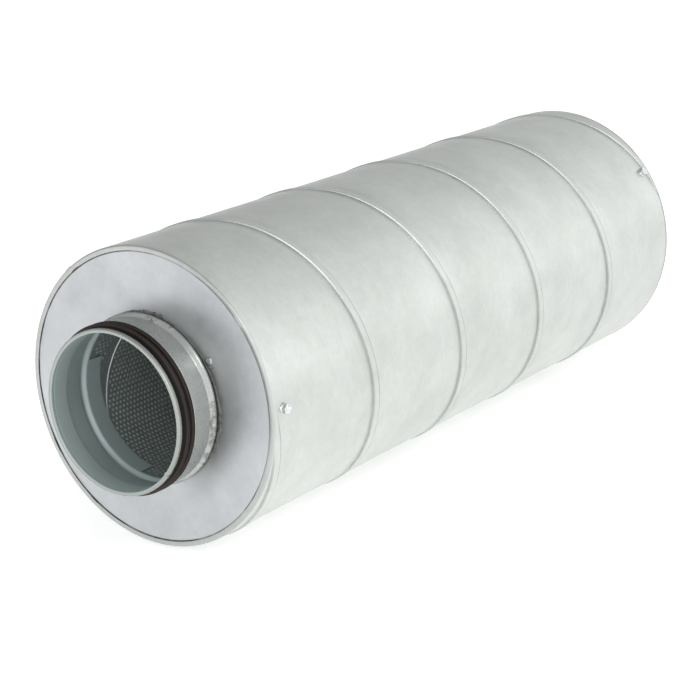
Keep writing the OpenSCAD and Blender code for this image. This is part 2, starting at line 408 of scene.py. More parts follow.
@dataclass(frozen=True)
class CapSheet(ZincSheet):
    """The end cap's sheet, smudged, with a painted shadow in the corner under the casing's edge and a
    painted shadow and dark reflection of the collar beside it.
    """

    corner: float = 108.3 * MM
    # Painted shadow in the corner under the casing's turned-in lip.
    corner_shadow_tone: Triple = (0.07, 0.07, 0.07)
    smudge_tone: Triple = (0.30, 0.30, 0.31)
    # Painted shadow and dark reflection of the collar.
    collar_shade_tone: Triple = (0.19, 0.19, 0.185)

    def make(self) -> bpy.types.Material:
        """Give the cap's material.

        Returns:
            The material.
        """
        g = Graph(self.name)
        colour, rough, normal = self.base(g)
        reach = g.reach()
        # Painted shadow: a broken dark ring where the cap meets the casing's lip.
        off = g.math("ABSOLUTE", g.math("SUBTRACT", reach, self.corner))
        ring = g.span(off, 0.25 * MM, 1.1 * MM, 1.0, 0.0)
        broken = g.span(g.noise(55.0, 4.0), 0.35, 0.6, 0.5, 1.0)
        colour = g.mix(g.times(ring, broken), colour, self.corner_shadow_tone)
        smudge = g.span(g.noise(26.0, 3.0, 0.55, twist=0.6), 0.5, 0.75)
        colour = g.mix(g.times(smudge, 0.14), colour, self.smudge_tone)
        # Painted shade: the cap darkened beside the collar on its -Y side, standing for the collar's shadow
        # and dark reflection.
        collar_shade = g.times(g.span(reach, 64 * MM, 90 * MM, 1.0, 0.0),
                       g.span(g.axis("Y"), -20 * MM, -62 * MM))
        collar_shade = g.times(collar_shade, g.span(g.noise(30.0, 2.0, 0.5), 0.3, 0.7, 0.75, 1.0))
        colour = g.mix(g.times(collar_shade, 0.6), colour, self.collar_shade_tone)
        return g.dress(Base_Color=colour, Metallic=self.metal, Roughness=rough, Normal=normal)


@dataclass(frozen=True)
class CollarSheet(ZincSheet):
    """The collar's sheet, with sealant rubbed over its bead in two places, painted shade on its rim's front
    and a painted teal-grey shade on its inside wall.
    """

    bead: float = 302.6 * MM
    reach: float = 64.0 * MM
    rim: float = 335.6 * MM
    inner_metal: float = 0.3
    smears: tuple[tuple[float, float], ...] = (
        (82, 7.0), (94, 9.0), (106, 8.0), (118, 6.0), (8, 7.0), (22, 5.0))
    sealant: Triple = (0.17, 0.175, 0.165)
    # Painted shade on the rim's front.
    rim_shade_tone: Triple = (0.27, 0.275, 0.245)
    # Painted shade of the inside wall, teal-grey.
    shaded_inside_tone: Triple = (0.40, 0.50, 0.505)

    def make(self) -> bpy.types.Material:
        """Give the collar's material.

        Returns:
            The material.
        """
        g = Graph(self.name)
        colour, rough, normal = self.base(g)
        crumple = g.noise(210.0, 6.0, 0.7, twist=1.2)
        waver = g.times(g.math("SUBTRACT", g.noise(120.0, 4.0), 0.5), 0.012)
        smear = 0.0
        for end in End:
            for theta, size in self.smears:
                middle = around(end.value * self.bead, self.reach, theta)
                smear = g.math("MAXIMUM", smear, g.near(middle, 0.3 * size * MM, size * MM, waver))
        smear = g.times(smear, g.span(crumple, 0.40, 0.56))
        colour = g.mix(g.times(smear, 0.75), colour, self.sealant)
        rough = g.math("ADD", rough, g.times(smear, 0.2))
        normal = g.bump(g.times(smear, crumple), 0.7, 0.0008, normal)
        # Painted shade: the folded rim darkened towards its front, standing for a darker reflection.
        rim = g.span(g.out(), self.rim, self.rim + 0.8 * MM, 0.0, 0.5)
        colour = g.mix(rim, colour, self.rim_shade_tone)
        # Painted shade: the inside wall gets a teal-grey copy of the sheet's colour, standing for the
        # interior's shaded, tinted look.
        facing = g.add("ShaderNodeNewGeometry").outputs["Normal"]
        turned = g.vector("DOT_PRODUCT", facing, g.outward(), "Value")
        inside = g.span(turned, -20 * MM, 5 * MM, 1.0, 0.0)
        colour = g.mix(inside, colour, g.mix(0.65, colour, self.shaded_inside_tone))
        metal = g.span(inside, 0.0, 1.0, self.metal, self.inner_metal)
        rough = g.math("ADD", rough, g.times(inside, 0.2))
        return g.dress(Base_Color=colour, Metallic=metal, Roughness=rough, Normal=normal)


@dataclass(frozen=True)
class PunchedSheet(ZincSheet):
    """The tube's sheet deep inside, where the fleece shows through its holes as pale dots."""

    pitch: float = 4.0 * MM
    rows: int = 112
    hole: float = 1.2 * MM
    radius: float = 61.82 * MM
    fleece: Triple = (0.62, 0.64, 0.61)

    def make(self) -> bpy.types.Material:
        """Give the punched sheet's material.

        Returns:
            The material.
        """
        g = Graph(self.name)
        colour, rough, normal = self.base(g)
        turn = g.turn()
        row = g.times(turn, self.rows / math.tau)
        line = g.math("ROUND", row)
        stagger = g.times(g.math("PINGPONG", line, 1.0), 0.5)
        column = g.math("ADD", g.math("DIVIDE", g.axis("X"), self.pitch), stagger)
        over = g.times(g.math("SUBTRACT", g.math("FRACT", column), 0.5), self.pitch)
        side = g.times(g.math("SUBTRACT", row, line), math.tau * self.radius / self.rows)
        square = g.math("ADD", g.math("POWER", over, 2.0), g.math("POWER", side, 2.0))
        away = g.math("SQRT", square)
        dot = g.span(away, 0.85 * self.hole, self.hole, 1.0, 0.0)
        colour = g.mix(dot, colour, self.fleece)
        rough = g.math("ADD", rough, g.times(dot, 0.4))
        metal = g.span(dot, 0.0, 1.0, self.metal, 0.0)
        return g.dress(Base_Color=colour, Metallic=metal, Roughness=rough, Normal=normal)


@dataclass(frozen=True)
class SealRubber:
    """Soft dark rubber, coloured by height with painted light: painted shade low on the lips, a painted
    brown sheen on their flanks and a painted reddish highlight on their tips, jittered by a fine speckle.
    """

    name: str = "seal_rubber"
    root: float = 60.3 * MM
    tip: float = 63.6 * MM
    # Colours by height over the band, all painted light: painted shade low on the lips, a painted brown
    # sheen on the flanks, painted shade just under the tips and a painted reddish highlight on them.
    painted_light_bands: Stops = (
        (0.0, (0.003, 0.003, 0.003)), (0.36, (0.005, 0.0045, 0.004)), (0.52, (0.034, 0.026, 0.021)),
        (0.84, (0.028, 0.021, 0.017)), (0.95, (0.008, 0.006, 0.005)), (1.0, (0.060, 0.032, 0.023)))

    def make(self) -> bpy.types.Material:
        """Give the rubber's material.

        Returns:
            The material.
        """
        g = Graph(self.name)
        speckle = g.noise(130.0, 4.0, 0.6)
        jittered = g.math("ADD", g.reach(), g.times(g.math("SUBTRACT", speckle, 0.5), 0.8 * MM))
        # Painted light: the colour follows the height over the band, jittered by the speckle.
        height = g.math("DIVIDE", g.math("SUBTRACT", jittered, self.root), self.tip - self.root)
        colour = g.ramp(height, self.painted_light_bands)
        normal = g.bump(g.noise(700.0, 3.0), 0.25, 0.0003)
        rough = g.span(speckle, 0.3, 0.7, 0.3, 0.46)
        return g.dress(Base_Color=colour, Roughness=rough, Normal=normal, Specular_IOR_Level=0.15)


@dataclass(frozen=True)
class FleeceCloth:
    """Thin pale fleece of random fibres."""

    name: str
    dark: Triple
    light: Triple

    def make(self) -> bpy.types.Material:
        """Give the cloth's material.

        Returns:
            The material.
        """
        g = Graph(self.name)
        fibre = g.noise(520.0, 6.0, 0.75, twist=2.5)
        colour = g.ramp(fibre, ((0.3, self.dark), (0.7, self.light)))
        return g.dress(Base_Color=colour, Roughness=0.95, Normal=g.bump(fibre, 0.6, 0.0008))


@dataclass(frozen=True)
class PlatedFastener:
    """Plated screw or rivet, a little stained."""

    name: str
    light: Triple
    dark: Triple
    rough: float

    def make(self) -> bpy.types.Material:
        """Give the plating's material.

        Returns:
            The material.
        """
        g = Graph(self.name)
        stain = g.noise(380.0, 4.0, 0.6)
        colour = g.ramp(stain, ((0.35, self.dark), (0.62, self.light)))
        rough = g.span(stain, 0.3, 0.7, self.rough + 0.12, self.rough)
        normal = g.bump(g.noise(1500.0, 2.0), 0.15, 0.0001)
        return g.dress(Base_Color=colour, Metallic=1.0, Roughness=rough, Normal=normal)


@dataclass(frozen=True)
class CuredSealant:
    """Grey sealant, pressed in by hand."""

    name: str = "joint_sealant"

    def make(self) -> bpy.types.Material:
        """Give the sealant's material.

        Returns:
            The material.
        """
        g = Graph(self.name)
        lump = g.noise(240.0, 5.0, 0.6)
        colour = g.ramp(lump, ((0.3, (0.05, 0.052, 0.048)), (0.7, (0.17, 0.175, 0.165))))
        return g.dress(Base_Color=colour, Roughness=0.55, Normal=g.bump(lump, 0.5, 0.0006))


def lathe(bm: bmesh.types.BMesh, points: Iterable[Sequence[float]], angle: float, steps: int,
          closed: bool = False, advance: float = 0.0, axis: Sequence[float] = (1, 0, 0)) -> None:
    """Turn a line of points about an axis through the origin, and close the ends of a part turn.

    Args:
        bm: the mesh that the faces join.
        points: the line's points, in metres.
        angle: angle turned, in radians.
        steps: how many steps that takes.
        closed: whether the line is a closed loop.
        advance: distance along X at each step, for a screw.
        axis: the axis's direction.
    """
    verts = [bm.verts.new(point) for point in points]
    pairs = list(zip(verts, verts[1:])) + ([(verts[-1], verts[0])] if closed else [])
    edges = [bm.edges.new(pair) for pair in pairs]
    whole = advance == 0.0 and angle > math.tau - 1e-9
    made = bmesh.ops.spin(bm, geom=verts + edges, cent=(0, 0, 0), axis=axis, dvec=(advance, 0, 0),
                          angle=angle, steps=steps, use_merge=whole, use_duplicate=False)
    if closed and not whole:
        last = [e for e in made["geom_last"] if isinstance(e, bmesh.types.BMEdge)]
        for loop in (edges, last):
            bmesh.ops.contextual_create(bm, geom=loop)


class Piece:
    """A mesh under construction that becomes a named object."""

    def __init__(self, name: str) -> None:
        """Start an empty mesh of that name."""
        self.name = name
        self.bm = bmesh.new()

    def spin(self, profile: Sequence[tuple[float, float]], steps: int, start: float = 0.0,
             sweep: float = 360.0, closed: bool = True) -> None:
        """Turn a profile about the duct's axis.

        Args:
            profile: points of distance along the duct and radius, in metres.
            steps: steps round the sweep.
            start: angle of the first copy in degrees.
            sweep: angle swept in degrees.
            closed: whether the profile is a closed loop.
        """
        lathe(self.bm, [around(x, r, start) for x, r in profile], math.radians(sweep), steps, closed)

    def take(self, bm: bmesh.types.BMesh) -> None:
        """Join another mesh to this one and free it.

        Args:
            bm: the other mesh.
        """
        mesh = bpy.data.meshes.new("joined")
        bm.to_mesh(mesh)
        bm.free()
        self.bm.from_mesh(mesh)
        bpy.data.meshes.remove(mesh)

    def finish(self, material: bpy.types.Material, slot: str, replaces: Iterable[str] = (),
               smooth_deg: float = 35.0, merge: float = 1e-7, outward: bool = True) -> bpy.types.Object:
        """Close the mesh, make it an object and hand it to the frame.

        Args:
            material: what it is dressed in.
            slot: name of the record's material slot; not used.
            replaces: nodes that it stands for.
            smooth_deg: edges sharper than this stay sharp.
            merge: distance under which points are one.
            outward: whether the faces are turned outwards.

        Returns:
            The object.
        """
        bmesh.ops.remove_doubles(self.bm, verts=self.bm.verts, dist=merge)
        if outward:
            bmesh.ops.recalc_face_normals(self.bm, faces=self.bm.faces)
        for face in self.bm.faces:
            face.smooth = True
        limit = math.radians(smooth_deg)
        for edge in self.bm.edges:
            if len(edge.link_faces) == 2 and edge.calc_face_angle(0.0) > limit:
                edge.smooth = False
        mesh = bpy.data.meshes.new(self.name)
        self.bm.to_mesh(mesh)
        self.bm.free()
        mesh.materials.append(material)
        obj = bpy.data.objects.new(self.name, mesh)
        bpy.context.scene.collection.objects.link(obj)
        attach(obj, "root")
        nodes = list(replaces)
        if nodes:
            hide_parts(*nodes)
        LOG.info("%s: %d faces", self.name, len(mesh.polygons))
        return obj


@dataclass
class WoundCasing:
    """The spirally wound outer casing with its lock seam and turned-in edges."""

    radius: float = 112.5 * MM
    length: float = 600 * MM
    pitch: float = 121.4 * MM
    seam_w: float = 6.4 * MM
    seam_h: float = 1.1 * MM
    seam_start: float = 93.4 * MM
    lip: float = 4.0 * MM
    sheet: float = 0.8 * MM
    bend: float = 1.2 * MM
    pressed: float = 5.0 * MM
    steps: int = 180
    nicks: tuple[float, ...] = (21.6, 49.0, 120.0, 212.0, 239.0, 322.0)

    def strip(self) -> Section:
        """One strip's section, from seam to seam.

        Returns:
            Points of distance along the duct and rise over the sheet.
        """
        w, h = self.seam_w / 2, self.seam_h
        near = [(0.0, 0.96 * h), (w - 0.9 * MM, h), (w - 0.35 * MM, 0.92 * h), (w, 0.55 * h),
                (w + 0.2 * MM, -0.15 * h), (w + 0.55 * MM, -0.28 * h), (w + 1.2 * MM, 0.0)]
        plain = [(self.pitch * k / 8, 0.0) for k in range(1, 8)]
        far = [(self.pitch - x, rise) for x, rise in reversed(near)]
        return near + plain + far

    def build(self, finish: CasingSheet) -> bpy.types.Object:
        """Wind the strip, trim the tube and turn its edges in.

        Args:
            finish: the sheet's finish.

        Returns:
            The casing.
        """
        piece = Piece("wound_casing")
        bm = piece.bm
        turns = math.ceil(self.length / self.pitch) + 2
        first = -self.length / 2 + self.seam_start - 2 * self.pitch
        line = [around(first + x, self.radius + rise, 0.0) for x, rise in self.strip()]
        lathe(bm, line, math.tau * turns, self.steps * turns, advance=self.pitch / self.steps)
        bmesh.ops.remove_doubles(bm, verts=bm.verts, dist=1e-5)
        for end in End:
            self.trim(bm, end)
        self.flatten(bm)
        for end in End:
            self.turn_in(bm, end)
        return piece.finish(finish.make(), "galvanised_casing", ["outer_casing"], 28.0, 1e-6)

    def trim(self, bm: bmesh.types.BMesh, end: End) -> None:
        """Cut the tube off where the bend at one end begins.

        Args:
            bm: the casing's mesh.
            end: which end.
        """
        at = end.value * (self.length / 2 - self.bend)
        bmesh.ops.bisect_plane(bm, geom=bm.verts[:] + bm.edges[:] + bm.faces[:], dist=1e-6,
                               plane_co=(at, 0, 0), plane_no=(end.value, 0, 0), clear_outer=True)

    def flatten(self, bm: bmesh.types.BMesh) -> None:
        """Press the seam flat where it runs out at the casing's edges.

        Args:
            bm: the casing's mesh.
        """
        for v in bm.verts:
            inside = min(1.0, max(0.0, (self.length / 2 - self.bend - abs(v.co.x)) / self.pressed))
            r = radius_of(v.co)
            v.co = around(v.co.x, self.radius + (r - self.radius) * inside ** 0.7, angle_of(v.co))

    def turn_in(self, bm: bmesh.types.BMesh, end: End) -> None:
        """Bend one edge of the tube inwards and give it its thickness.

        Args:
            bm: the casing's mesh.
            end: which end.
        """
        sign = end.value
        at = sign * (self.length / 2 - self.bend)
        edges = [e for e in bm.edges if e.is_boundary and all(abs(v.co.x - at) < 1e-5 for v in e.verts)]
        path = [(self.bend * math.sin(math.pi / 2 * k / 5), self.bend * (1 - math.cos(math.pi / 2 * k / 5)))
                for k in range(1, 6)]
        path += [(self.bend, self.lip - 0.3 * MM), (self.bend - 0.15 * MM, self.lip),
                 (self.bend - self.sheet, self.lip), (self.bend - self.sheet, self.lip - 1.5 * MM)]
        done = (0.0, 0.0)
        for step in path:
            made = bmesh.ops.extrude_edge_only(bm, edges=edges)["geom"]
            edges = [e for e in made if isinstance(e, bmesh.types.BMEdge)]
            for v in (g for g in made if isinstance(g, bmesh.types.BMVert)):
                r, theta = radius_of(v.co), angle_of(v.co)
                drop = step[1] - done[1]
                if step[1] > self.lip / 2:
                    nick = min(abs((theta - n + 180) % 360 - 180) for n in self.nicks)
                    over = max(0.0, r - (self.radius - done[1]))
                    drop += over - (0.9 * MM if nick < 1.1 and step[1] > self.lip - 0.1 * MM else 0.0)
                v.co = around(v.co.x + sign * (step[0] - done[0]), r - drop, theta)
            done = step


@dataclass
class AirTube:
    """The perforated tube that carries the air, with close holes near both mouths."""

    inner: float = 61.82 * MM
    sheet: float = 0.8 * MM
    half: float = 297.45 * MM
    hole: float = 1.2 * MM
    pitch: float = 4.0 * MM
    rows: int = 112
    depth: float = 84 * MM
    seam_pitch: float = 129.6 * MM
    seam_at: float = -284.25 * MM
    seam_theta: float = 242.0
    plain_before: float = 11 * MM
    plain_after: float = 2.5 * MM

    def seam_gap(self, x: float, theta: float) -> float:
        """Distance along the duct from the tube's own lock seam, from minus to plus half a pitch."""
        off = x - self.seam_at - (theta - self.seam_theta) / 360.0 * self.seam_pitch
        return (off + self.seam_pitch / 2) % self.seam_pitch - self.seam_pitch / 2

    def sheet_end(self, piece: Piece, end: End) -> None:
        """Punch a flat sheet and roll it into one end of the tube.

        Args:
            piece: the tube.
            end: which end.
        """
        flat = bmesh.new()
        count = round(self.depth / self.pitch)
        turn = math.tau * self.inner
        bmesh.ops.create_grid(flat, x_segments=count, y_segments=self.rows, size=0.5)
        step = turn / self.rows
        for v in flat.verts:
            row = round((v.co.y + 0.5) * self.rows)
            column = round((v.co.x + 0.5) * count)
            edge = column in (0, count)
            shift = 0.0 if edge or row % 2 == 0 else 0.5
            v.co = Vector((end.value * (self.half - (column + shift) * self.pitch), row * step, 0.0))
        bmesh.ops.triangulate(flat, faces=flat.faces, quad_method="SHORT_EDGE")
        punch = [v for v in flat.verts if not v.is_boundary and self.clear(v.co.x, v.co.y / turn * 360.0)]
        bmesh.ops.bevel(flat, geom=punch, offset=self.hole, offset_type="OFFSET", segments=1,
                        profile=0.5, affect="VERTICES", material=-1)
        rounds = [f for f in flat.faces if len(f.verts) == 6 and self.is_hole(f)]
        bmesh.ops.subdivide_edges(flat, edges=list({e for f in rounds for e in f.edges}), cuts=1)
        rims = set()
        for face in rounds:
            centre = face.calc_center_median()
            rims.update(face.edges)
            for v in face.verts:
                v.co = centre + (v.co - centre).normalized() * self.hole
        bmesh.ops.delete(flat, geom=rounds, context="FACES_ONLY")
        walls = bmesh.ops.extrude_edge_only(flat, edges=list(rims))["geom"]
        bmesh.ops.translate(flat, verts=[v for v in walls if isinstance(v, bmesh.types.BMVert)],
                            vec=(0, 0, self.sheet))
        for v in flat.verts:
            v.co = around(v.co.x, self.inner + v.co.z, v.co.y / turn * 360.0)
        bmesh.ops.remove_doubles(flat, verts=flat.verts, dist=1e-5)
        piece.take(flat)

    def is_hole(self, face: bmesh.types.BMFace) -> bool:
        """Whether a face of the flat sheet is a punched hexagon and not the sheet between the holes."""
        centre = face.calc_center_median()
        return all((v.co - centre).length < 1.07 * self.hole for v in face.verts)

    def clear(self, x: float, theta: float) -> bool:
        """Whether a hole may stand there, clear of the lock seam's plain margin."""
        return not -self.plain_before < self.seam_gap(x, theta) < self.plain_after

    def build(self, finish: ZincSheet, deep: PunchedSheet) -> bpy.types.Object:
        """Join both punched ends and the middle.

        Args:
            finish: the sheet's finish at the ends.
            deep: the sheet's finish in the middle.

        Returns:
            The tube.
        """
        piece = Piece("punched_air_tube")
        for end in End:
            self.sheet_end(piece, end)
        middle = self.half - round(self.depth / self.pitch) * self.pitch
        piece.spin([(-middle, self.inner), (middle, self.inner)], self.rows, closed=False)
        bmesh.ops.remove_doubles(piece.bm, verts=piece.bm.verts, dist=1e-5)
        for face in piece.bm.faces:
            centre = face.calc_center_median()
            inward = Vector((0, -centre.y, -centre.z))
            if abs(face.normal.dot(inward.normalized())) > 0.5 and face.normal.dot(inward) < 0:
                face.normal_flip()
        tube = piece.finish(finish.make(), "perforated_steel", ["perforated_tube"], 40.0, 1e-7, False)
        tube.data.materials.append(deep.make())
        for face in tube.data.polygons:
            face.material_index = int(abs(face.center.x) < middle)
        return tube

    def ridge(self, finish: ZincSheet) -> bpy.types.Object:
        """Wind the thin raised lock seam along the inside of the tube.

        Args:
            finish: the sheet's finish.

        Returns:
            The ridge.
        """
        piece = Piece("air_tube_lock_seam")
        turns = 2 * self.half / self.seam_pitch
        start = self.seam_theta + (-self.half - self.seam_at) / self.seam_pitch * 360.0
        section = ((-0.7, 0.2), (-0.45, -0.45), (0.45, -0.45), (0.7, 0.2))
        line = [around(-self.half + x * MM, self.inner + r * MM, start) for x, r in section]
        steps = round(turns * 90)
        lathe(piece.bm, line, math.tau * turns, steps, True, 2 * self.half / steps)
        return piece.finish(finish.make(), "perforated_steel", smooth_deg=50.0)


def arc(s: float, r: float, size: float, first: float, last: float, steps: int) -> Section:
    """Points of an arc in a section.

    Args:
        s: its centre's distance out from the cap.
        r: its centre's distance from the axis.
        size: its radius.
        first: angle of its first point, in degrees from the outward direction.
        last: angle of its last point.
        steps: how many steps it has.

    Returns:
        Points of distance from the cap's face and radius.
    """
    turns = [math.radians(first + (last - first) * k / steps) for k in range(steps + 1)]
    return [(s + size * math.cos(t), r + size * math.sin(t)) for t in turns]


@dataclass
class Collar:
    """One connection collar: stop bead, seal seat, folded rim, tongues and bent tabs."""

    face: float = 299.15 * MM
    outer: float = 61.7 * MM
    sheet: float = 0.8 * MM
    bead_s: float = 4.0 * MM
    bead_h: float = 2.7 * MM
    bead_hw: float = 3.95 * MM
    seat_at: float = 24.0 * MM
    seat_outer: float = 59.3 * MM
    rim_s: float = 37.0 * MM
    length: float = 40.6 * MM
    rim_inner: float = 58.3 * MM
    rim_outer: float = 61.3 * MM
    rim_c: float = 0.9 * MM
    tongue: float = 14.6 * MM
    tab_outer: float = 71.6 * MM
    tabs: int = 3
    tab_deg: float = 21.0
    slit_deg: float = 2.0
    tab_at: float = 59.0
    weld_at: float = 126.6
    steps: int = 360

    def section(self) -> Section:
        """The collar's closed outline, out along its outside and back along its inside.

        Returns:
            Points of distance from the cap's face and radius.
        """
        inner, seat_inner = self.outer - self.sheet, self.seat_outer - self.sheet
        shares = [k / 9 for k in range(-9, 10)]
        swell = [(self.bead_s + self.bead_hw * k, self.bead_h * math.cos(math.pi / 2 * k) ** 1.5)
                 for k in shares]
        c, top, low = self.rim_c, self.rim_outer - self.rim_c, self.rim_inner + self.rim_c
        back, front = self.rim_s + c, self.length - c
        path = [(-1.5 * self.sheet, self.outer)]
        path += [(s, self.outer + rise) for s, rise in swell]
        path += arc(self.seat_at - 0.6 * MM, self.outer - 0.6 * MM, 0.6 * MM, 90, 0, 4)
        path += arc(self.seat_at + 0.4 * MM, self.seat_outer + 0.4 * MM, 0.4 * MM, 180, 270, 3)
        path += [(self.rim_s + 0.1 * MM, self.seat_outer)]
        path += arc(back, top, c, 180, 90, 4) + arc(front, top, c, 90, 0, 5)
        path += arc(front, low, c, 0, -90, 5) + arc(back, low, c, -90, -150, 3)
        path += [(self.rim_s - 0.1 * MM, seat_inner)]
        path += arc(self.seat_at + 0.4 * MM, seat_inner + 1.2 * MM, 1.2 * MM, 270, 180, 4)
        path += arc(self.seat_at - self.sheet - 0.3 * MM, inner - 0.3 * MM, 0.3 * MM, 0, 90, 2)
        path += [(s, inner + rise) for s, rise in reversed(swell)]
        path += [(-1.5 * self.sheet, inner)]
        return path

    def mark_weld(self, bm: bmesh.types.BMesh) -> None:
        """Sink the collar's lengthwise weld and leave a nick in its rim and its bead.

        Args:
            bm: the collar's mesh.
        """
        for v in bm.verts:
            r, theta = radius_of(v.co), angle_of(v.co)
            off = abs(theta - self.weld_at)
            out = abs(v.co.x) - self.face
            if off > 3.0 or out < 0.0:
                continue
            sink = 0.12 * MM if off < 0.8 else 0.0
            if out > self.rim_s or r > self.outer + 0.6 * MM:
                sink = 0.55 * MM if off < 0.8 else -0.3 * MM * (1.0 - off / 3.0)
            v.co = around(v.co.x, r - sink, theta)

    def build(self, end: End, material: bpy.types.Material) -> bpy.types.Object:
        """Turn the collar for one end and add its tongues and tabs.

        Args:
            end: which end.
            material: the sheet.

        Returns:
            The collar.
        """
        side = end.name.lower()
        piece = Piece(f"{side}_sealed_collar")

        def spot(points: Sequence[tuple[float, float]]) -> Section:
            """Carry points of the section to this end of the duct."""
            return [(end.value * (self.face + s), r) for s, r in points]

        piece.spin(spot(self.section()), self.steps)
        self.mark_weld(piece.bm)
        inner = self.outer - self.sheet
        strip = [(-self.tongue, inner + 0.02 * MM), (-self.tongue, self.outer - 0.02 * MM),
                 (-self.sheet, self.outer - 0.02 * MM), (-self.sheet, inner + 0.02 * MM)]
        flap = [(-2.05 * self.sheet, inner + 0.3 * MM), (-2.05 * self.sheet, self.tab_outer),
                (-1.06 * self.sheet, self.tab_outer), (-1.06 * self.sheet, inner + 0.3 * MM)]
        pace = 360.0 / self.tabs
        gap = self.tab_deg / 2 + self.slit_deg
        for i in range(self.tabs):
            middle = self.tab_at + pace * i
            piece.spin(spot(strip), 48, middle + gap, pace - 2 * gap)
            piece.spin(spot(flap), 14, middle - self.tab_deg / 2, self.tab_deg)
        return piece.finish(material, "galvanised_collar", [f"{side}_spigot"], 38.0)


@dataclass
class BlindRivets:
    """The blind rivets that hold one collar's tabs to the end cap."""

    face: float = 299.15 * MM
    ring: float = 67.4 * MM
    first: float = 55.4
    count: int = 3
    head: float = 3.2 * MM
    height: float = 1.4 * MM
    shank: float = 1.6 * MM
    reach: float = 5.0 * MM

    def section(self) -> Section:
        """Half of a rivet's outline, from the pulled stem's dimple down to its tail.

        Returns:
            Points of height over the cap and distance from the rivet's axis.
        """
        flat, turns = 0.9 * MM, [math.pi / 2 * k / 7 for k in range(7)]
        dome = [(self.height * math.cos(t), flat + (self.head - flat) * math.sin(t)) for t in turns]
        tail = [(0.06 * MM, self.head), (0.06 * MM, self.shank), (-1.7 * MM, self.shank),
                (-2.1 * MM, 1.45 * self.shank), (-3.6 * MM, 1.4 * self.shank),
                (-self.reach, 0.5 * self.shank), (-self.reach, 0.0)]
        stem = [(0.55 * MM, 0.0), (0.55 * MM, 0.62 * MM), (0.75 * self.height, 0.75 * MM)]
        return stem + dome + tail

    def build(self, end: End, material: bpy.types.Material) -> bpy.types.Object:
        """Set the rivets round one collar.

        Args:
            end: which end.
            material: the rivets' steel.

        Returns:
            The rivets.
        """
        side = end.name.lower()
        piece = Piece(f"{side}_blind_rivets")
        for i in range(self.count):
            bm = bmesh.new()
            lathe(bm, [(end.value * (self.face + h), r, 0) for h, r in self.section()], math.tau, 32)
            spot = around(0.0, self.ring, self.first + 360.0 / self.count * i)
            bmesh.ops.translate(bm, verts=bm.verts, vec=spot)
            piece.take(bm)
        return piece.finish(material, "rivet_steel", [f"{side}_spigot_rivets"], 45.0)


@dataclass
class LipSeal:
    """The double-lip seal in one collar's seat."""

    face: float = 299.15 * MM
    seat_r: float = 59.35 * MM
    start: float = 24.1 * MM
    length: float = 12.75 * MM
    band: float = 1.0 * MM
    tip_r: float = 63.6 * MM
    lips: int = 2
    lean: float = 1.9 * MM
    first_root: float = 4.2 * MM
    lip_pitch: float = 5.9 * MM
    tip_round: float = 0.45 * MM
    steps: int = 240

    def section(self) -> Section:
        """The seal's outline, from its inner corner round over both lips.

        Returns:
            Points of distance from the cap's face and radius.
        """
        top = self.seat_r + self.band
        points = [(self.start, self.seat_r), (self.start, top - 0.3 * MM), (self.start + 0.3 * MM, top)]
        for k in range(self.lips):
            root = self.start + self.first_root + self.lip_pitch * k
            tip = root - self.lean
            points += [(root - 1.6 * MM, top), (root - 1.75 * MM, top + 0.3 * MM)]
            points += arc(tip, self.tip_r - self.tip_round, self.tip_round, 215, 40, 6)
            points += [(root - 0.35 * MM, top + 0.55 * MM), (root + 0.1 * MM, top + 0.1 * MM),
                       (root + 0.5 * MM, top)]
        points += [(self.start + self.length - 0.3 * MM, top), (self.start + self.length, top - 0.3 * MM),
                   (self.start + self.length, self.seat_r)]
        return points

    def build(self, end: End, material: bpy.types.Material) -> bpy.types.Object:
        """Turn the seal for one end, with lips that waver a little.

        Args:
            end: which end.
            material: the rubber.

        Returns:
            The seal.
        """
        side = end.name.lower()
        piece = Piece(f"{side}_rubber_seal")
        piece.spin([(end.value * (self.face + s), r) for s, r in self.section()], self.steps)
        for v in piece.bm.verts:
            r = radius_of(v.co)
            if r > self.seat_r + self.band + 0.5 * MM:
                lift = 0.22 * MM * noise.noise(Vector((v.co.x * 60, v.co.y * 45, v.co.z * 45)))
                v.co = around(v.co.x + lift, r - abs(lift), angle_of(v.co))
        return piece.finish(material, "seal_rubber", [f"{side}_lip_seal"], 50.0)


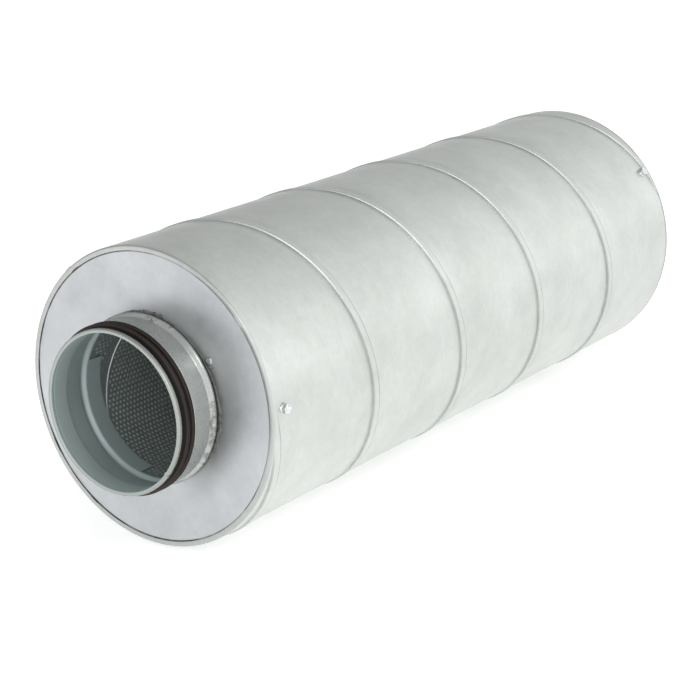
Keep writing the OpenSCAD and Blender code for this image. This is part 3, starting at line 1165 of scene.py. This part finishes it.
@dataclass
class CasingScrews:
    """The hexagon washer-head screws in one end of the casing."""

    radius: float = 112.55 * MM
    inset: float = 12.5 * MM
    half: float = 300 * MM
    flats: float = 7 * MM
    head: float = 3 * MM
    washer: float = 8.6 * MM
    washer_t: float = 0.8 * MM
    shank: float = 4 * MM
    length: float = 13 * MM
    chamfer: float = 0.45 * MM
    crest: float = 0.35 * MM
    thread_pitch: float = 1.4 * MM

    def one(self, turn: float) -> bmesh.types.BMesh:
        """Model a screw that stands along +Z on the casing's top.

        Args:
            turn: how far the hexagon is turned, in degrees.

        Returns:
            The screw's mesh.
        """
        bm = bmesh.new()
        corner = self.flats / math.sqrt(3)
        bmesh.ops.create_cone(bm, cap_ends=True, segments=6, radius1=corner, radius2=corner, depth=self.head)
        top = [e for e in bm.edges if all(v.co.z > 0 for v in e.verts)]
        bmesh.ops.bevel(bm, geom=top, offset=self.chamfer, offset_type="OFFSET", segments=2, profile=0.5,
                        affect="EDGES", material=-1)
        cap = max(bm.faces, key=lambda f: f.calc_center_median().z)
        bmesh.ops.inset_individual(bm, faces=[cap], thickness=1.3 * MM, depth=-0.25 * MM)
        spin = Matrix.Rotation(math.radians(turn), 3, "Z")
        bmesh.ops.rotate(bm, verts=bm.verts, cent=(0, 0, 0), matrix=spin)
        bmesh.ops.translate(bm, verts=bm.verts, vec=(0, 0, self.washer_t + self.head / 2))
        skirt = bmesh.ops.create_cone(bm, cap_ends=True, segments=40, radius1=self.washer / 2,
                                      radius2=self.washer / 2 - self.chamfer, depth=self.washer_t)["verts"]
        bmesh.ops.translate(bm, verts=skirt, vec=(0, 0, self.washer_t / 2))
        self.thread(bm)
        return bm

    def thread(self, bm: bmesh.types.BMesh) -> None:
        """Add the shank with its thread and drill point below the head.

        Args:
            bm: the screw's mesh.
        """
        edge, core = self.shank / 2, self.shank / 2 * 0.8
        section = [(0.0, core)]
        z = -0.6 * MM
        while z > -(self.length - 4 * MM):
            section += [(z, core), (z - self.crest, edge), (z - 0.45 * MM, edge), (z - 0.8 * MM, core)]
            z -= self.thread_pitch
        section += [(-(self.length - 3.6 * MM), core), (-(self.length - 0.5 * MM), core * 0.9),
                    (-self.length, 0.2 * MM)]
        lathe(bm, [(r, 0, z) for z, r in section], math.tau, 24, axis=(0, 0, 1))

    def build(self, end: End, angles: Sequence[float], material: bpy.types.Material) -> bpy.types.Object:
        """Set the screws round one end.

        Args:
            end: which end.
            angles: where each screw stands, in degrees from the top.
            material: the plating.

        Returns:
            The screws.
        """
        side = end.name.lower()
        piece = Piece(f"{side}_hexagon_screws")
        for i, theta in enumerate(angles):
            bm = self.one(17.0 + 23.0 * i)
            x = end.value * (self.half - self.inset)
            turn = Matrix.Rotation(math.radians(theta), 4, "X")
            bmesh.ops.transform(bm, verts=bm.verts, matrix=turn @ Matrix.Translation((x, 0, self.radius)))
            piece.take(bm)
        return piece.finish(material, "zinc_screws", [f"{side}_casing_screws"], 30.0)


@dataclass
class SealantFillet:
    """The hand-laid sealant under one collar's stop bead."""

    face: float = 299.15 * MM
    inner: float = 62.2 * MM
    outer: float = 63.7 * MM
    spills: tuple[tuple[float, float], ...] = ((4.0, 26.0), (98.0, 34.0))
    steps: int = 360

    def spill(self, theta: float) -> float:
        """How much sealant stands out past the bead at an angle, from 0 to 1."""
        return max(max(0.0, 1.0 - abs((theta - at + 180) % 360 - 180) / wide) for at, wide in self.spills)

    def build(self, end: End, material: bpy.types.Material) -> bpy.types.Object:
        """Lay the fillet at one end, uneven along its length.

        Args:
            end: which end.
            material: the sealant.

        Returns:
            The fillet.
        """
        side = end.name.lower()
        piece = Piece(f"{side}_sealant_fillet")
        low, high = self.face + 0.06 * MM, self.face + 0.9 * MM
        section = [(low, self.inner), (low, self.outer), (low + 0.25 * MM, self.outer - 0.1 * MM),
                   (high - 0.2 * MM, self.outer - 0.55 * MM), (low + 0.6 * MM, self.inner + 0.45 * MM)]
        piece.spin([(end.value * x, r) for x, r in section], self.steps)
        for v in piece.bm.verts:
            r, theta = radius_of(v.co), angle_of(v.co)
            if r > self.inner + 0.6 * MM:
                t = math.radians(theta)
                lump = noise.noise(Vector((math.cos(t) * 7, math.sin(t) * 7, 1.0)))
                crumb = noise.noise(Vector((math.cos(t) * 31, math.sin(t) * 31, 4.0)))
                out = 0.3 + 0.5 * lump + self.spill(theta) * (2.0 + 1.9 * crumb)
                v.co = around(v.co.x, r + max(out, -0.3) * MM, theta)
        return piece.finish(material, "joint_sealant", [f"{side}_spigot_sealant"], 60.0)


@dataclass(frozen=True)
class SoftBox:
    """A soft box: its name, where it hangs, what it points at, its size and its power in watts."""

    name: str
    place: Triple
    aim: Triple
    size: tuple[float, float]
    power: float

    def hang(self) -> None:
        """Hang the lamp in the scene."""
        data = bpy.data.lights.new(self.name, "AREA")
        data.shape = "RECTANGLE"
        data.size, data.size_y = self.size
        data.energy = self.power
        obj = bpy.data.objects.new(self.name, data)
        obj.location = self.place
        obj.rotation_euler = (Vector(self.aim) - Vector(self.place)).to_track_quat("-Z", "Y").to_euler()
        bpy.context.scene.collection.objects.link(obj)


@dataclass
class Studio:
    """The floor, the lights and the camera."""

    eye: Triple = (-1.31305, -0.88791, 0.47013)
    yaw: float = 35.088
    pitch: float = -17.944
    focal_px: float = 1976.03
    image_px: float = 700.0
    sensor: float = 36.0
    bright_side: Triple = (0.36, -0.86, -0.36)
    bright: float = 1.47
    dim: float = 0.60
    floor_glow: float = 0.42
    boxes: tuple[SoftBox, ...] = (
        SoftBox("front_box", (-1.9, -0.40, 0.55), (-0.28, 0.02, 0.0), (1.4, 1.0), 8.0),
        SoftBox("side_box", (-1.0, -1.7, 1.75), (-0.3, 0.0, 0.0), (0.5, 0.5), 4.5))

    def camera(self) -> None:
        """Set the camera where the photographer's stood."""
        data = bpy.data.cameras.new("photo_camera")
        data.sensor_width = self.sensor
        data.lens = self.focal_px / self.image_px * self.sensor
        obj = bpy.data.objects.new("photo_camera", data)
        yaw, pitch = math.radians(self.yaw), math.radians(self.pitch)
        ahead = Vector((math.cos(pitch) * math.cos(yaw), math.cos(pitch) * math.sin(yaw), math.sin(pitch)))
        obj.location = self.eye
        obj.rotation_euler = ahead.to_track_quat("-Z", "Y").to_euler()
        bpy.context.scene.collection.objects.link(obj)
        bpy.context.scene.camera = obj

    def floor(self, height: float) -> None:
        """Lay a wide pale floor.

        Args:
            height: where the object rests.
        """
        bm = bmesh.new()
        bmesh.ops.create_grid(bm, x_segments=1, y_segments=1, size=12.0)
        bmesh.ops.translate(bm, verts=bm.verts, vec=(0, 0, height))
        mesh = bpy.data.meshes.new("studio_floor")
        bm.to_mesh(mesh)
        bm.free()
        g = Graph("floor_paper")
        shade = g.ramp(g.noise(3.0, 2.0), ((0.0, (0.93, 0.93, 0.93)), (1.0, (0.96, 0.96, 0.96))))
        paper = g.dress(Base_Color=shade, Roughness=0.9, Emission_Color=(1.0, 1.0, 1.0, 1.0),
                        Emission_Strength=self.floor_glow)
        paper.cycles.emission_sampling = "NONE"
        mesh.materials.append(paper)
        obj = bpy.data.objects.new("studio_floor", mesh)
        bpy.context.scene.collection.objects.link(obj)
        obj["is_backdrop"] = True

    def world(self) -> None:
        """Fill the room with pale light, brighter on the camera's right than behind the duct."""
        world = bpy.data.worlds.new("studio_room")
        bpy.context.scene.world = world
        world.use_nodes = True
        tree = world.node_tree
        tree.nodes.clear()
        place = tree.nodes.new("ShaderNodeTexCoord")
        aim = tree.nodes.new("ShaderNodeVectorMath")
        aim.operation = "DOT_PRODUCT"
        aim.inputs[1].default_value = self.bright_side
        span = tree.nodes.new("ShaderNodeMapRange")
        span.inputs["From Min"].default_value = -0.35
        span.inputs["From Max"].default_value = 0.85
        span.inputs["To Min"].default_value = self.dim
        span.inputs["To Max"].default_value = self.bright
        back = tree.nodes.new("ShaderNodeBackground")
        out = tree.nodes.new("ShaderNodeOutputWorld")
        tree.links.new(place.outputs["Generated"], aim.inputs[0])
        tree.links.new(aim.outputs["Value"], span.inputs["Value"])
        tree.links.new(span.outputs[0], back.inputs["Strength"])
        tree.links.new(back.outputs[0], out.inputs[0])
        back.inputs["Color"].default_value = (0.985, 1.0, 1.0, 1.0)

    def build(self, height: float) -> None:
        """Set up the whole studio.

        Args:
            height: where the object rests.
        """
        bpy.context.scene.view_settings.view_transform = "Standard"
        self.world()
        self.floor(height)
        for box in self.boxes:
            box.hang()
        self.camera()


CASING_SHEET = CasingSheet("galvanised_casing", (0.53, 0.55, 0.525), (0.63, 0.65, 0.625), 0.34)
CAP_SHEET = CapSheet("galvanised_cap", (0.49, 0.505, 0.52), (0.58, 0.595, 0.615), 0.40)
COLLAR_SHEET = CollarSheet("galvanised_collar", (0.40, 0.415, 0.395), (0.50, 0.515, 0.495), 0.25,
                           flake=0.04, wave=0.0001, metal=0.9)
TUBE_SHEET = ZincSheet("perforated_steel", (0.26, 0.295, 0.29), (0.34, 0.375, 0.37), 0.42,
                       wave=0.0001, metal=0.5)
DEEP_SHEET = PunchedSheet("punched_steel", TUBE_SHEET.dark, TUBE_SHEET.light, TUBE_SHEET.rough,
                          wave=TUBE_SHEET.wave, metal=TUBE_SHEET.metal)
# Painted highlight: the tube's seam ridge is given much lighter steel than the tube it is folded from.
SEAM_HIGHLIGHT_SHEET = ZincSheet("perforated_seam_highlight", (0.62, 0.65, 0.64), (0.78, 0.80, 0.79), 0.3,
                       wave=0.0001, metal=0.5)
SCREW_ZINC = PlatedFastener("zinc_screws", (0.80, 0.82, 0.82), (0.52, 0.54, 0.54), 0.18)
RIVET_STEEL = PlatedFastener("rivet_steel", (0.52, 0.54, 0.53), (0.30, 0.31, 0.31), 0.3)
WOOL = FleeceCloth("mineral_wool", (0.30, 0.21, 0.07), (0.62, 0.49, 0.23))
FLEECE = FleeceCloth("glass_fleece", (0.52, 0.53, 0.51), (0.76, 0.77, 0.74))
SCREW_ANGLES = {End.FRONT: (84.0, 200.0, 314.0), End.REAR: (52.8, 172.8, 292.8)}


def dress_cad(name: str, material: bpy.types.Material) -> None:
    """Give a carried-over node a finish.

    Args:
        name: the node.
        material: its finish.
    """
    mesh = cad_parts[name].data
    mesh.materials.clear()
    mesh.materials.append(material)
    LOG.info("%s: dressed in %s", name, material.name)


def main() -> None:
    """Build every piece in order, then the studio."""
    logging.basicConfig(level=logging.INFO, format="%(message)s")
    WoundCasing().build(CASING_SHEET)
    tube = AirTube()
    tube.build(TUBE_SHEET, DEEP_SHEET)
    tube.ridge(SEAM_HIGHLIGHT_SHEET)
    rubber = SealRubber().make()
    zinc, rivet = SCREW_ZINC.make(), RIVET_STEEL.make()
    sealant = CuredSealant().make()
    cap, collar = CAP_SHEET.make(), COLLAR_SHEET.make()
    for end, angles in SCREW_ANGLES.items():
        Collar().build(end, collar)
        BlindRivets().build(end, rivet)
        LipSeal().build(end, rubber)
        CasingScrews().build(end, angles, zinc)
        SealantFillet().build(end, sealant)
    wool = WOOL.make()
    dress_cad("fleece_wrap", FLEECE.make())
    for half in ("upper_wool_shell", "lower_wool_shell"):
        dress_cad(half, wool)
    for end in End:
        dress_cad(f"{end.name.lower()}_end_cap", cap)
    low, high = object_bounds()
    Studio().build(low.z)


if __name__ == "__main__":
    main()
